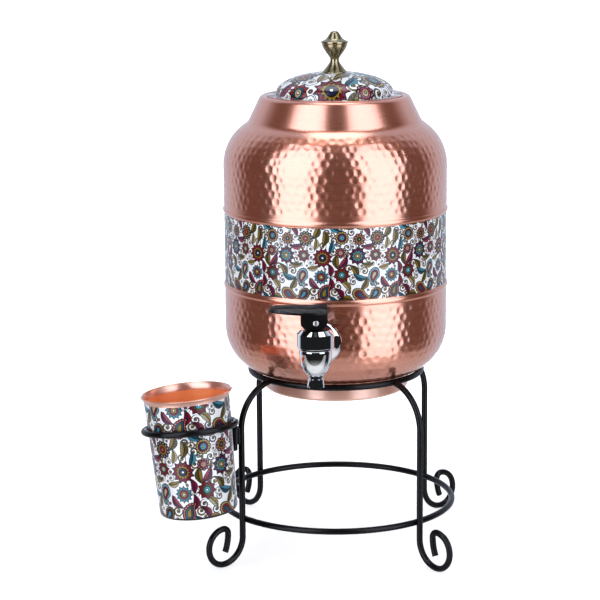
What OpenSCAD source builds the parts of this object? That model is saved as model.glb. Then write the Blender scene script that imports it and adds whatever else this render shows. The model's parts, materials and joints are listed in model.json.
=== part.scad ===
// Copper water dispenser: a hammered tank with a printed band, lid and tap, on a bent bar stand
// with a swinging cup holder. Millimetres, +Z up, origin on the floor under the tank's axis,
// tap towards -Y.

/* [Stand] */
// Diameter of the round bar of the stand and the cup holder
bar_d = 5; // [4:0.25:6]
// Radius of the base ring, to the middle of its bar
base_ring_r = 97.6; // [92:0.2:110]
// Height of the base ring above the floor, to the middle of its bar
base_ring_z = 35; // [32:0.5:60]
// Radius of the top ring, to the middle of its bar
top_ring_r = 71.2; // [69:0.2:76]
// Bend radius of a leg's shoulder
arch_r = 36; // [32:0.5:44]
// Bend radius where a leg turns out along the floor
heel_r = 20; // [17:0.5:24]
// Bend radius of a foot's scroll
curl_r = 15; // [13:0.5:17]
// Bend radius where the scroll turns back down
tip_r = 4.7; // [3.5:0.1:5.5]
// Bend radius of the scroll's end
tail_r = 36; // [28:1:80]
// Angle of the scroll's end
tail_a = 25; // [8:1:27]
// Depth of the ground flat under each foot
foot_flat = 0.4; // [0.2:0.1:0.8]
// Turn of the stand about the upright axis
stand_turn = 3.7; // [-10:0.1:10]

/* [Tank] */
// Outer radius of the tank wall
shell_r = 92; // [90:0.5:97]
// Thickness of the copper sheet
shell_t = 1.2; // [1:0.1:2]
// Height of the tank's flat bottom above the floor
tank_z = 146; // [140:0.5:160]
// Radius of the rounded bottom edge
base_round_r = 40; // [37:0.5:43]
// Radius of the rounded shoulder
shoulder_r = 40; // [36:0.5:44]
// Height from the tank's bottom to the start of the shoulder
wall_h = 174; // [165:1:200]
// Clear radius of the mouth
mouth_r = 53.8; // [50:0.2:56]
// Outer radius of the rolled rim
rim_roll_r = 4.4; // [3.5:0.1:5.5]
// Length of the lip that hangs inside the mouth
lip_h = 9; // [5:0.5:14]
// Lean of the neck
neck_lean = 25.5; // [20:0.5:30]
// Length of the neck's straight side
neck_length = 18.7; // [14:0.1:24]
// Radius of the hollow between shoulder and neck
neck_cove_r = 10; // [6:0.5:14]
// Height from the tank's bottom to the printed band
band_lift = 78; // [74:0.5:84]
// Height of the printed band
band_h = 57.5; // [40:0.5:70]
// Thickness of the printed band
band_t = 0.4; // [0.3:0.1:0.6]
// Depth of the recess that holds the printed band
recess_t = 0.5; // [0.45:0.05:0.6]
// Width of the raised bead beside the band
bead_w = 4.4; // [3:0.2:6]
// Height of the raised bead
bead_h = 0.9; // [0.5:0.1:1.4]
// Length of the lap between the upper and lower shells
lap_h = 8; // [4:0.5:14]
// Radius of the foot ring at the floor side
foot_r = 59.8; // [54:0.2:63]
// Spread of the foot ring from its edge up to the tank
foot_spread = 1.7; // [0:0.1:2.5]
// Height from the foot ring's edge to the tank's bottom
foot_h = 12.9; // [9:0.1:16]
// Radius of the foot ring's turned-in edge
foot_edge_r = 2.5; // [1.6:0.1:4]

/* [Lid] */
// Outer radius of the lid's brim
brim_r = 55.2; // [54.6:0.1:57]
// Thickness of the lid's sheet
lid_t = 1.2; // [0.8:0.1:1.6]
// Radius of the lid's dome at its foot
dome_r = 48; // [44:0.2:50]
// Rise of the lid's dome
dome_h = 16.6; // [12:0.2:22]
// Radius of the hollow between brim and dome
dome_cove_r = 2; // [1:0.1:3]
// Depth of the collar under the lid
collar_h = 10; // [6:0.5:16]
// Height of the finial
finial_h = 33.2; // [30:0.1:40]
// Radius of the finial's base
finial_base_r = 9.1; // [7:0.1:11]
// Radius of the finial's neck
finial_neck_r = 3.3; // [3.2:0.1:5]
// Radius of the finial's rim
finial_rim_r = 11; // [8.5:0.1:13]
// Height of the middle of the finial's neck above its base
finial_neck_h = 10; // [9:0.1:11]
// Length of the finial's straight neck
finial_neck_length = 6.4; // [4:0.1:8]
// Height of the finial's rim above its base
finial_rim_h = 24.6; // [23:0.1:25]
// Height of the foot of the finial's point above its base
finial_cone_h = 27; // [26.8:0.1:28]
// Radius of the foot of the finial's point
finial_cone_r = 6.2; // [4.5:0.1:8]
// Radius of the finial's screw
screw_r = 2; // [1.5:0.1:2.4]

/* [Tap] */
// Height of the tap's shank above the tank's bottom
tap_lift = 44.5; // [43:0.5:52]
// Distance from the tank wall to the tap's upright axis
tap_reach = 29; // [26:0.5:36]
// Radius of the threaded shank
shank_r = 8; // [7:0.1:9]
// Radius of the water way in the shank
shank_bore_r = 4.5; // [3:0.1:5]
// Radius of the tap's flange
flange_r = 17.2; // [15.5:0.2:20]
// Thickness of the rubber gasket behind the flange
gasket_t = 3; // [2:0.1:5]
// Largest radius of the tap's body
body_r = 13; // [12.2:0.1:14.5]
// Height of the body's shoulder above the shank's axis
body_rise = 1.5; // [1:0.1:3]
// Distance from the shank's axis down to the end of the egg-shaped body
egg_drop = 20; // [18:0.5:24]
// Distance from the shank's axis down to the end of the spout
spout_drop = 29.6; // [28:0.5:40]
// Outer radius of the spout
spout_r = 6.5; // [5.8:0.1:7.4]
// Radius of the outlet
outlet_r = 4.8; // [3.6:0.1:5]
// Radius of the valve chamber
chamber_r = 9; // [8.4:0.1:9.4]
// Distance from the shank's axis down to the valve seat
seat_drop = 9.5; // [8:0.1:11]
// Outer radius of the body's collar and the bonnet
bonnet_r = 14.5; // [13:0.1:16]
// Height of the bonnet's top above the shank's axis
bonnet_rise = 16.6; // [15.5:0.1:20]
// Height of the bonnet that shows over the collar
bonnet_h = 3.7; // [3.2:0.1:5]
// Thickness of the bonnet's top
bonnet_t = 3; // [2.4:0.1:4.5]
// Radius of the valve stem
stem_r = 3; // [2.6:0.1:3.2]
// Radius of the return spring, to the middle of its wire
spring_r = 5; // [4.6:0.1:6]
// Diameter of the spring's wire
spring_wire_d = 0.9; // [0.7:0.05:1.1]
// Turns of the return spring
spring_turns = 5; // [3:1:6]

/* [Lever] */
// Height of the lever's pin above its flat underside
cam_low = 5.7; // [5.2:0.1:7]
// Lift of the valve when the lever is flipped up
cam_lift = 3.5; // [2:0.1:4]
// Radius of the lever's pin
pin_r = 2.1; // [1.5:0.1:2.4]
// Width of the lever's head along its pin
head_w = 14; // [12:0.5:18]
// Thickness of the stem's tongue between the lever's cheeks
tongue_t = 4.6; // [3.6:0.1:5]
// Distance from the pin to the front of the lever's head
head_front = 11.6; // [10.5:0.1:14]
// Distance from the pin to the tip of the lever
paddle_length = 36.4; // [30:0.2:42]
// Width of the lever's paddle
paddle_w = 24; // [20:0.2:28]
// Width of the paddle at its tail
paddle_tail_w = 16.3; // [14:0.1:18]
// Thickness of the lever's paddle
paddle_t = 5.9; // [5:0.1:7]
// Height of the paddle's underside above the pin
paddle_lift = 7.3; // [6.6:0.1:9]
// Radius of the paddle's rounded top
paddle_crown_r = 20; // [18:0.5:40]
// Fall of the paddle's top towards its tip
tip_fall = 2.8; // [1:0.1:3]
// Rise of the paddle's underside towards its tip
tip_rise = 1.2; // [0:0.1:1.6]
// Turn of the lever about the tap's axis, from straight out
lever_turn = -80; // [-120:1:120]

/* [Cup] */
// Height of the cup
cup_h = 97; // [80:0.5:110]
// Outer radius of the cup's base
cup_base_r = 31.2; // [27:0.1:34]
// Outer radius of the cup below its lip
cup_top_r = 34.4; // [34.1:0.1:38]
// Radius of the cup's flared lip
cup_lip_r = 36.7; // [36.2:0.1:39.5]
// Thickness of the cup's sheet
cup_t = 1; // [0.8:0.1:1.4]
// Distance from the cup's lip down to the holder's ring
cup_seat = 28; // [15:0.5:36]
// Lean of the cup away from the stand
cup_lean_out = 3; // [0:0.1:4]
// Lean of the cup sideways
cup_lean_side = 4.5; // [0:0.1:6]
// Twist of the holder's ring about its arm
holder_twist = 8; // [4:0.1:9]
// Height of the holder's ring above the floor
holder_z = 124; // [118:0.5:127]
// Height of the sleeve that carries the holder
sleeve_h = 13.4; // [10:0.2:18]
// Height of the sleeve's top above the floor
sleeve_z = 115.4; // [112:0.2:117]
// Outer diameter of the sleeve
sleeve_d = 9.6; // [8.8:0.1:12]
// Length of the holder's end that shows below its sleeve
tail_length = 6; // [3:0.5:12]

/* [Clearances] */
// Gap between the tank and its stand
seat_gap = 0.3; // [0.2:0.05:0.5]
// Gap between the lid and the tank's rim
lid_gap = 0.3; // [0.2:0.05:0.5]
// Gap round the lid's collar
collar_gap = 0.5; // [0.3:0.05:1]
// Gap filled by solder or glue
solder_gap = 0.05; // [0.02:0.01:0.1]
// Gap bridged by a weld
weld_gap = 0.05; // [0.02:0.01:0.1]
// Gap round a turning shaft or pin
run_gap = 0.08; // [0.05:0.01:0.1]
// Gap between lever and bonnet
cam_gap = 0.3; // [0.2:0.05:0.5]
// Gap between valve and seat
valve_gap = 0.1; // [0.05:0.01:0.3]
// Gap between the cup and its holder
cup_gap = 0.4; // [0.3:0.05:0.8]

/* [Hidden] */
$fn = 96;
arc_steps = 14;
copper = "#c98f78";
chrome = "#c9ccd0";
black = "#26262a";
brass = "#9b7f45";

// Stand
bar_r = bar_d / 2;
leg_r = base_ring_r + bar_d;
leg_turns = [-45 + stand_turn, 45 + stand_turn, -135 + stand_turn, 135 + stand_turn];
scroll_r = leg_r + heel_r;
floor_z = bar_r - foot_flat;
tip_z = floor_z + 2 * curl_r - tip_r;

// Tank
base_c = [shell_r - base_round_r, tank_z + base_round_r];
shoulder_c = [shell_r - shoulder_r, tank_z + wall_h];
band_z = tank_z + band_lift;
recess_r = shell_r - recess_t;
inner_r = shell_r - shell_t;
seam_z = band_z + band_h / 2;
lap_t = 0.8;
bead_edge = 0.4;
bead_arc_r = (pow(bead_w / 2, 2) + bead_h * bead_h) / (2 * bead_h);
bead_half = asin(bead_w / 2 / bead_arc_r);
bead_c = shell_r + bead_h - bead_arc_r;
upper_bead_z = band_z + band_h + bead_edge + bead_w / 2;
lower_bead_z = band_z - bead_edge - bead_w / 2;
seat_reach = base_round_r + bar_r + seat_gap;
top_ring_z = base_c.y - sqrt(seat_reach * seat_reach - pow(top_ring_r - base_c.x, 2));
foot_z = tank_z - foot_h;

// The hollow between shoulder and neck touches the shoulder's arc and the neck's straight side
neck_out = [cos(neck_lean), sin(neck_lean)];
neck_up = [-sin(neck_lean), cos(neck_lean)];
cove_reach = shoulder_r + neck_cove_r;
cove_to_roll = neck_length * neck_up - (neck_cove_r + rim_roll_r) * neck_out;
cove_a = acos((mouth_r + rim_roll_r - cove_to_roll.x - shoulder_c.x) / cove_reach);
cove_c = shoulder_c + cove_reach * [cos(cove_a), sin(cove_a)];
roll_c = cove_c + cove_to_roll;

// Leg shoulder, from the upright to its weld on the outside of the top ring
arch_c_r = leg_r - arch_r;
arch_stop = bar_r + weld_gap;
arch_a = acos((top_ring_r - arch_c_r) / norm([arch_r, arch_stop])) - atan(arch_stop / arch_r);
arch_z = round(1000 * (top_ring_z - arch_stop * cos(arch_a) - arch_r * sin(arch_a))) / 1000;

// Lid
brim_z = roll_c.y + sqrt(rim_roll_r * rim_roll_r - pow(roll_c.x - brim_r, 2)) + lid_gap;
brim_top = brim_z + lid_t;
dome_z = brim_top + dome_cove_r;
finial_z = dome_z + dome_h * sqrt(1 - pow(finial_base_r / dome_r, 2));
lid_collar_r = mouth_r - collar_gap;
lid_collar_t = 0.9;
washer_r = 6;
washer_t = 0.8;
washer_z = dome_z + (dome_h - lid_t) * sqrt(1 - pow(washer_r / (dome_r - lid_t), 2)) - washer_t;
screw_head_r = 3.8;
screw_head_h = 2.4;
screw_depth = 12;
finial_point_r = 3;
finial_point_h = 1.7;
finial_edge = 0.4;
finial_rim_t = 1.7;

// Tap
tap_y = shell_r + tap_reach;
tap_z = tank_z + tap_lift;
flange_back = shell_r + gasket_t;
flange_edge = 2;
flange_h = 6;
gasket_r = flange_r - 0.8;
inner_washer_r = shank_r + 6;
inner_washer_t = 3;
nut_h = 6;
nut_r = shank_r + 5;
nut_back = inner_r - inner_washer_t;
shank_end = nut_back - nut_h - 5;
body_z = tap_z + body_rise;
egg_z = tap_z - egg_drop;
spout_z = tap_z - spout_drop;
seat_z = tap_z - seat_drop;
bonnet_z = tap_z + bonnet_rise;
tap_collar_top = bonnet_z - bonnet_h;
ceiling_z = bonnet_z - bonnet_t;
bonnet_bevel = 3.2;
bonnet_plug_h = 6;
groove_h = 1;
groove_t = 0.6;
spring_room = 0.9;
cup_plug_r = chamber_r - 2;
cup_plug_h = 5;
stem_collar_z = seat_z + cup_plug_h + 1;
spring_seat_r = spring_r + 1.5;
spring_seat_t = 1.6;
spring_foot = stem_collar_z + spring_seat_t;
knob_low = seat_z + 1.6;
knob_high = seat_z + 3;
knob_step = 0.4;
waist_step = 0.6;
pin_z = bonnet_z + cam_gap + cam_low;

// Spring
spring_gap = 0.1;
spring_rings = 8;
spring_sides = 6;
spring_wire_r = spring_wire_d / 2;
spring_low = spring_foot + spring_wire_r + spring_gap;
spring_high = ceiling_z - spring_wire_r - spring_gap;
spring_count = spring_turns * spring_rings;
spring_rise = spring_high - spring_low;
spring_self_gap = spring_rise / spring_turns - spring_wire_d;

// Lever, drawn along +X from its pin
cam_rate = cam_lift / (PI / 2);
cam_high = cam_low + cam_lift;
tongue_h = cam_high + cam_gap;
head_chamfer = 4;
leaf_x = 10;
pin_head_r = pin_r + 0.4;
pin_head_h = 1.1;
tongue_r = stem_r + 0.8;

// Cup and holder, drawn along +X from the tank's axis
sleeve_r = leg_r + bar_r + sleeve_d / 2;
holder_bend_r = holder_z - sleeve_z - seat_gap;
cup_rake = (cup_top_r - cup_base_r) / cup_h;
cup_seat_r = cup_base_r + cup_rake * (cup_h - cup_seat);
cup_skew = sqrt(pow(holder_twist - cup_lean_side, 2) + cup_lean_out * cup_lean_out);
holder_r = (cup_seat_r + cup_gap + bar_r) / (cos(cup_skew) - cup_rake * sin(cup_skew));
holder_c = sleeve_r + holder_bend_r + holder_r;
tail_z = sleeve_z - sleeve_h - tail_length;
lip_flare_r = 8;
cup_edge_r = 3;
cup_wall_a = atan(cup_rake);
flare_out = (cup_lip_r - cup_top_r) / lip_flare_r;
flare_a = acos(cos(cup_wall_a) - flare_out);

function arc(c, r, from, to, steps = arc_steps) =
    [for (i = [0 : steps]) let (a = from + (to - from) * i / steps) c + r * [cos(a), sin(a)]];

function curve(a, b, c, d, steps = arc_steps) =
    [for (i = [0 : steps]) let (t = i / steps, s = 1 - t)
        s * s * s * a + 3 * s * s * t * b + 3 * s * t * t * c + t * t * t * d];

function backwards(list) = [for (i = [len(list) - 1 : -1 : 0]) list[i]];

function mirrored(list) = [for (p = backwards(list)) [p.x, -p.y]];

module turned(points, sides = 96) {
    rotate_extrude($fn = sides) polygon(points);
}

// A straight bar in the XZ plane
module bar(from, to) {
    run = to - from;
    translate([from.x, 0, from.y])
        rotate([0, atan2(run.x, run.y), 0])
            cylinder(r = bar_r, h = norm(run));
}

// A bent bar in the XZ plane
module bend(c, r, from, to) {
    translate([c.x, 0, c.y])
        rotate([90, 0, 0])
            rotate([0, 0, from])
                rotate_extrude(angle = to - from)
                    translate([r, 0]) circle(r = bar_r);
}

module ring(r, z) {
    translate([0, 0, z])
        rotate_extrude()
            translate([r, 0]) circle(r = bar_r);
}

module along_leg(turn) {
    rotate([0, 0, turn - 90]) children();
}

module at_tap() {
    translate([0, -tap_y, 0]) children();
}

// A round piece along the shank, from one distance to another in front of the tank's axis
module on_shank(r, near, far) {
    translate([0, -near, tap_z])
        rotate([90, 0, 0])
            cylinder(r = r, h = far - near);
}

module stand_top_ring() {
    color(black) ring(top_ring_r, top_ring_z);
}

module stand_base_ring() {
    color(black) ring(base_ring_r, base_ring_z);
}

// Upright, shoulder, heel and scroll of one leg
module leg(turn) {
    color(black)
        difference() {
            along_leg(turn) {
                bend([arch_c_r, arch_z], arch_r, 0, arch_a);
                bar([leg_r, floor_z + heel_r], [leg_r, arch_z]);
                bend([scroll_r, floor_z + heel_r], heel_r, 180, 270);
                bend([scroll_r, floor_z + curl_r], curl_r, -90, 90);
                bend([scroll_r, tip_z], tip_r, 90, 180);
                bend([scroll_r - tip_r + tail_r, tip_z], tail_r, 180, 180 + tail_a);
            }
            translate([0, 0, -bar_d]) cylinder(r = leg_r + 3 * heel_r, h = bar_d);
        }
}

module leg_front_left() {
    leg(leg_turns[0]);
}

module leg_front_right() {
    leg(leg_turns[1]);
}

module leg_rear_left() {
    leg(leg_turns[2]);
}

module leg_rear_right() {
    leg(leg_turns[3]);
}

// Short tube welded to the front left leg
module holder_sleeve() {
    color(black)
        along_leg(leg_turns[0])
            translate([sleeve_r, 0, sleeve_z - sleeve_h])
                difference() {
                    cylinder(d = sleeve_d, h = sleeve_h);
                    translate([0, 0, -1]) cylinder(r = bar_r + run_gap, h = sleeve_h + 2);
                }
}

function bead(z) = arc([bead_c, z], bead_arc_r, -bead_half, bead_half, 8);

// Shoulder, neck and rolled rim, taken in by a distance from the outer face
function crown(in) = concat(
    arc(shoulder_c, shoulder_r - in, 0, cove_a),
    arc(cove_c, neck_cove_r + in, cove_a + 180, neck_lean + 180, 8),
    arc(roll_c, rim_roll_r - in, neck_lean, 180),
    [[mouth_r + in, roll_c.y - lip_h]]
);

// Rounded bottom, from the axis out to the wall
function belly(in) = concat(
    [[0, tank_z + in]],
    arc(base_c, base_round_r - in, -90, 0)
);

// Upper half: shoulder, neck and mouth, with a bead over the printed band
module upper_shell() {
    outer = concat(
        [[recess_r, seam_z], [recess_r, band_z + band_h], [shell_r, band_z + band_h]],
        bead(upper_bead_z),
        crown(0)
    );
    inner = concat([[inner_r, seam_z]], crown(shell_t));
    color(copper) turned(concat(outer, backwards(inner)));
}

// Lower half: rounded bottom and wall, with a spigot that laps inside the upper half
module lower_shell() {
    outer = concat(
        belly(0),
        bead(lower_bead_z),
        [[shell_r, band_z], [recess_r, band_z], [recess_r, seam_z]],
        [[inner_r - solder_gap, seam_z], [inner_r - solder_gap, seam_z + lap_h]]
    );
    inner = concat(
        belly(shell_t),
        [[inner_r, seam_z - lap_h], [inner_r - lap_t, seam_z - lap_h / 2]],
        [[inner_r - lap_t, seam_z + lap_h]]
    );
    color(copper)
        difference() {
            turned(concat(outer, backwards(inner)));
            on_shank(shank_r + run_gap, inner_r - base_round_r / 2, shell_r + 1);
        }
}

// Printed sheet wrapped round the seam, between the two beads
module printed_band() {
    color("#d9cfc4")
        translate([0, 0, band_z + solder_gap])
            difference() {
                cylinder(r = recess_r + band_t, h = band_h - 2 * solder_gap);
                translate([0, 0, -1]) cylinder(r = recess_r + solder_gap, h = band_h + 2);
            }
}

// Foot under the tank, with its lower edge turned in
module foot_ring() {
    edge_c = [foot_r - foot_edge_r, foot_z + foot_edge_r];
    top_z = tank_z + base_round_r / 4;
    top_r = foot_r + foot_spread;
    outer = concat(
        [[edge_c.x - foot_edge_r, foot_z]],
        arc(edge_c, foot_edge_r, -90, 0, 8),
        [[top_r, top_z]]
    );
    inner = concat(
        [[edge_c.x - foot_edge_r, foot_z + shell_t]],
        arc(edge_c, foot_edge_r - shell_t, -90, 0, 8),
        [[top_r - shell_t, top_z]]
    );
    color(copper)
        difference() {
            turned(concat(outer, backwards(inner)));
            turned(concat(belly(-solder_gap), [[0, base_c.y]]));
        }
}

// Egg-shaped tap body with spout, collar, flange and hollow shank
module tap_body() {
    lip = 0.4;
    egg = curve([spout_r, egg_z], [body_r - 3.4, egg_z + 2.2], [body_r, egg_z + 7.5], [body_r, body_z]);
    skin = concat(
        [[0, spout_z], [spout_r + lip, spout_z], [spout_r + lip, spout_z + 2.4]],
        [[spout_r, spout_z + 3.2], [spout_r, egg_z - 3], [spout_r - groove_t, egg_z - 2.4]],
        [[spout_r - groove_t, egg_z - 1.4], [spout_r, egg_z - 0.8]],
        egg,
        [[bonnet_r - groove_t, body_z], [bonnet_r - groove_t, body_z + groove_h]],
        [[bonnet_r, body_z + groove_h + groove_t], [bonnet_r, tap_collar_top], [0, tap_collar_top]]
    );
    dish = concat(
        [[0, 0], [flange_r, 0]],
        curve([flange_r, flange_edge], [flange_r - 1, flange_h * 0.7],
            [shank_r + 5, flange_h * 0.7], [shank_r + 1, flange_h + 2], 10),
        [[shank_r + 1, flange_h + 4], [0, flange_h + 4]]
    );
    color(chrome)
        difference() {
            union() {
                at_tap() turned(skin);
                on_shank(shank_r, shank_end, flange_back + flange_edge / 2);
                on_shank(shank_r + 1, flange_back + flange_h, tap_y);
                translate([0, -flange_back, tap_z]) rotate([90, 0, 0]) turned(dish);
            }
            at_tap() translate([0, 0, seat_z]) cylinder(r = chamber_r, h = tap_collar_top - seat_z + 1);
            at_tap() translate([0, 0, spout_z - 1]) cylinder(r = outlet_r, h = seat_z - spout_z + 2);
            on_shank(shank_bore_r, shank_end - 1, tap_y - chamber_r / 2);
        }
}

// Cap that screws into the body's collar and guides the stem
module tap_bonnet() {
    plug_r = chamber_r - run_gap;
    plug_z = tap_collar_top - bonnet_plug_h;
    room_r = spring_r + spring_wire_d / 2 + spring_room;
    color(chrome)
        at_tap()
            difference() {
                turned([
                    [0, plug_z], [plug_r, plug_z], [plug_r, tap_collar_top], [bonnet_r, tap_collar_top],
                    [bonnet_r, bonnet_z - bonnet_bevel], [bonnet_r - bonnet_bevel, bonnet_z], [0, bonnet_z]
                ]);
                translate([0, 0, plug_z - 1]) cylinder(r = room_r, h = ceiling_z - plug_z + 1);
                translate([0, 0, plug_z]) cylinder(r = stem_r + run_gap, h = bonnet_rise + 1);
            }
}

// Rubber between flange and tank, shaped to the wall
module outer_gasket() {
    color(black)
        difference() {
            on_shank(gasket_r, inner_r - base_round_r / 4, flange_back);
            on_shank(shank_r + run_gap, 0, flange_back + 1);
            turned(concat(belly(-solder_gap), [[shell_r + solder_gap, band_z], [0, band_z]]), 360);
        }
}

// Rubber inside the tank, shaped to the wall
module inner_washer() {
    color(black)
        intersection() {
            difference() {
                on_shank(inner_washer_r, nut_back, shell_r);
                on_shank(shank_r + run_gap, 0, shell_r + 1);
            }
            turned(concat(belly(shell_t + solder_gap), [[inner_r - solder_gap, band_z], [0, band_z]]), 360);
        }
}

module shank_nut() {
    color(chrome)
        difference() {
            translate([0, nut_h - nut_back, tap_z])
                rotate([90, 0, 0])
                    cylinder(r = nut_r, h = nut_h, $fn = 6);
            on_shank(shank_r + run_gap, 0, shell_r);
        }
}

function dome(in) = [for (i = [0 : arc_steps]) let (a = 90 * i / arc_steps)
    [(dome_r - in) * cos(a), dome_z + (dome_h - in) * sin(a)]];

// Domed lid with a flat brim
module lid_dome() {
    cove = arc([dome_r + dome_cove_r, dome_z], dome_cove_r, 270, 180, 6);
    color("#cbbfb2")
        difference() {
            turned(concat(
                [[brim_r, brim_z], [brim_r, brim_top]], cove, dome(0),
                backwards(dome(lid_t)), [[dome_r - lid_t, brim_z]]
            ));
            translate([0, 0, dome_z]) cylinder(r = screw_r + run_gap, h = dome_h + 1);
        }
}

// Collar that keeps the lid in the mouth
module lid_collar() {
    color(copper)
        translate([0, 0, brim_z - collar_h])
            difference() {
                cylinder(r = lid_collar_r, h = collar_h);
                translate([0, 0, -1]) cylinder(r = lid_collar_r - lid_collar_t, h = collar_h + 2);
            }
}

// Turned brass knob, seated on the dome
module finial() {
    neck_low = [finial_neck_r, finial_neck_h - finial_neck_length / 2];
    neck_high = [finial_neck_r, finial_neck_h + finial_neck_length / 2];
    rim = [finial_rim_r, finial_rim_h];
    rim_top = rim + [0, finial_rim_t];
    point = [finial_point_r, finial_h - finial_point_h];
    skin = concat(
        [[0, -3], [finial_base_r, -3]],
        curve([finial_base_r, 0.8], [finial_base_r - 1.6, 3], neck_low - [0, 2.5], neck_low, 10),
        curve(neck_high, neck_high + [0, 1.5], rim - [2.6, 4], rim - [finial_edge, 0], 10),
        [rim + [0, finial_edge], rim_top - [0, finial_edge], rim_top - [finial_edge, 0]],
        [[finial_cone_r, finial_cone_h]],
        curve(point, point + [-0.5, finial_point_h], [1, finial_h], [0, finial_h], 6)
    );
    color(brass)
        difference() {
            translate([0, 0, finial_z]) turned(skin);
            turned(concat([[0, brim_z]], dome(-solder_gap)));
            translate([0, 0, dome_z]) cylinder(r = screw_r + run_gap, h = dome_h + screw_depth + 1);
        }
}

module finial_washer() {
    color(brass)
        translate([0, 0, washer_z])
            difference() {
                cylinder(r = washer_r, h = washer_t);
                translate([0, 0, -1]) cylinder(r = screw_r + run_gap, h = washer_t + 2);
            }
}

module finial_screw() {
    color(brass)
        translate([0, 0, washer_z - screw_head_h]) {
            cylinder(r = screw_head_r, h = screw_head_h);
            cylinder(r = screw_r, h = dome_z + dome_h + screw_depth - washer_z + screw_head_h);
        }
}

// Return spring between the stem's collar and the bonnet: a helix swept with a six-sided wire
echo(spring_self_gap = spring_self_gap);

function spring_point(i, j) = let (
    a = 360 * i / spring_rings,
    b = 360 * j / spring_sides,
    r = spring_r + spring_wire_r * cos(b)
) [r * cos(a), r * sin(a), spring_low + spring_rise * i / spring_count + spring_wire_r * sin(b)];

module return_spring() {
    last = spring_count * spring_sides;
    points = [for (i = [0 : spring_count], j = [0 : spring_sides - 1]) spring_point(i, j)];
    sides = [for (i = [0 : spring_count - 1], j = [0 : spring_sides - 1], half = [0, 1]) let (
        p = i * spring_sides + j,
        q = i * spring_sides + (j + 1) % spring_sides,
        up = spring_sides
    ) half == 0 ? [p, p + up, q + up] : [p, q + up, q]];
    ends = [for (j = [1 : spring_sides - 2], half = [0, 1])
        half == 0 ? [0, j, j + 1] : [last, last + j + 1, last + j]];
    color("#8c9096")
        at_tap() polyhedron(points, concat(sides, ends));
}

module on_pin() {
    translate([0, -tap_y, pin_z]) rotate([0, 0, lever_turn - 90]) children();
}

module across(r, w) {
    rotate([90, 0, 0]) cylinder(r = r, h = w, center = true);
}

// Stem: knob, spring collar, shaft and flat tongue with the pin's hole
module valve_stem() {
    knob_r = stem_r + knob_step;
    waist_r = stem_r - waist_step;
    color("#b8bcc0")
        difference() {
            union() {
                at_tap() turned([
                    [0, knob_low], [knob_r, knob_low], [knob_r, knob_high], [waist_r, knob_high],
                    [waist_r, stem_collar_z], [spring_seat_r, stem_collar_z], [spring_seat_r, spring_foot],
                    [stem_r, spring_foot], [stem_r, pin_z], [0, pin_z]
                ]);
                on_pin() across(tongue_r, tongue_t);
            }
            on_pin() across(pin_r + run_gap, head_w);
            for (side = [-1, 1])
                on_pin() translate([-tongue_r, side * (tongue_t / 2 + stem_r) - stem_r, -tongue_h])
                    cube([2 * tongue_r, 2 * stem_r, tongue_h + tongue_r]);
        }
}

// Soft cup on the stem's knob that closes the outlet
module seat_cup() {
    knob_r = stem_r + knob_step + solder_gap;
    waist_r = stem_r - waist_step + solder_gap;
    plug_top = seat_z + cup_plug_h;
    color("#d8d8d0")
        at_tap()
            difference() {
                turned([
                    [0, seat_z + valve_gap], [cup_plug_r, seat_z + valve_gap],
                    [cup_plug_r, seat_z + 2], [cup_plug_r - 1.6, plug_top], [0, plug_top]
                ]);
                turned([
                    [0, knob_low - solder_gap], [knob_r, knob_low - solder_gap],
                    [knob_r, knob_high + solder_gap], [waist_r, knob_high + solder_gap],
                    [waist_r, plug_top + 1], [0, plug_top + 1]
                ]);
            }
}

// Riveted pin with rounded heads
module lever_pin() {
    head = concat([[0, 0]], curve([pin_head_r, 0], [pin_head_r, 0.8], [1, pin_head_h], [0, pin_head_h], 8));
    color(chrome)
        on_pin() {
            across(pin_r, head_w + pin_head_h);
            for (side = [-1, 1])
                rotate([side * 90, 0, 0]) translate([0, 0, head_w / 2 + solder_gap]) turned(head);
        }
}

// Outline of the cam side: its height over the bonnet grows evenly as the lever turns up
cam = [for (i = [0 : arc_steps]) let (
    a = 90 - 90 * i / arc_steps,
    h = cam_low + cam_lift * a / 90
) [-h * sin(a) - cam_rate * cos(a), -h * cos(a) + cam_rate * sin(a)]];

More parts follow.
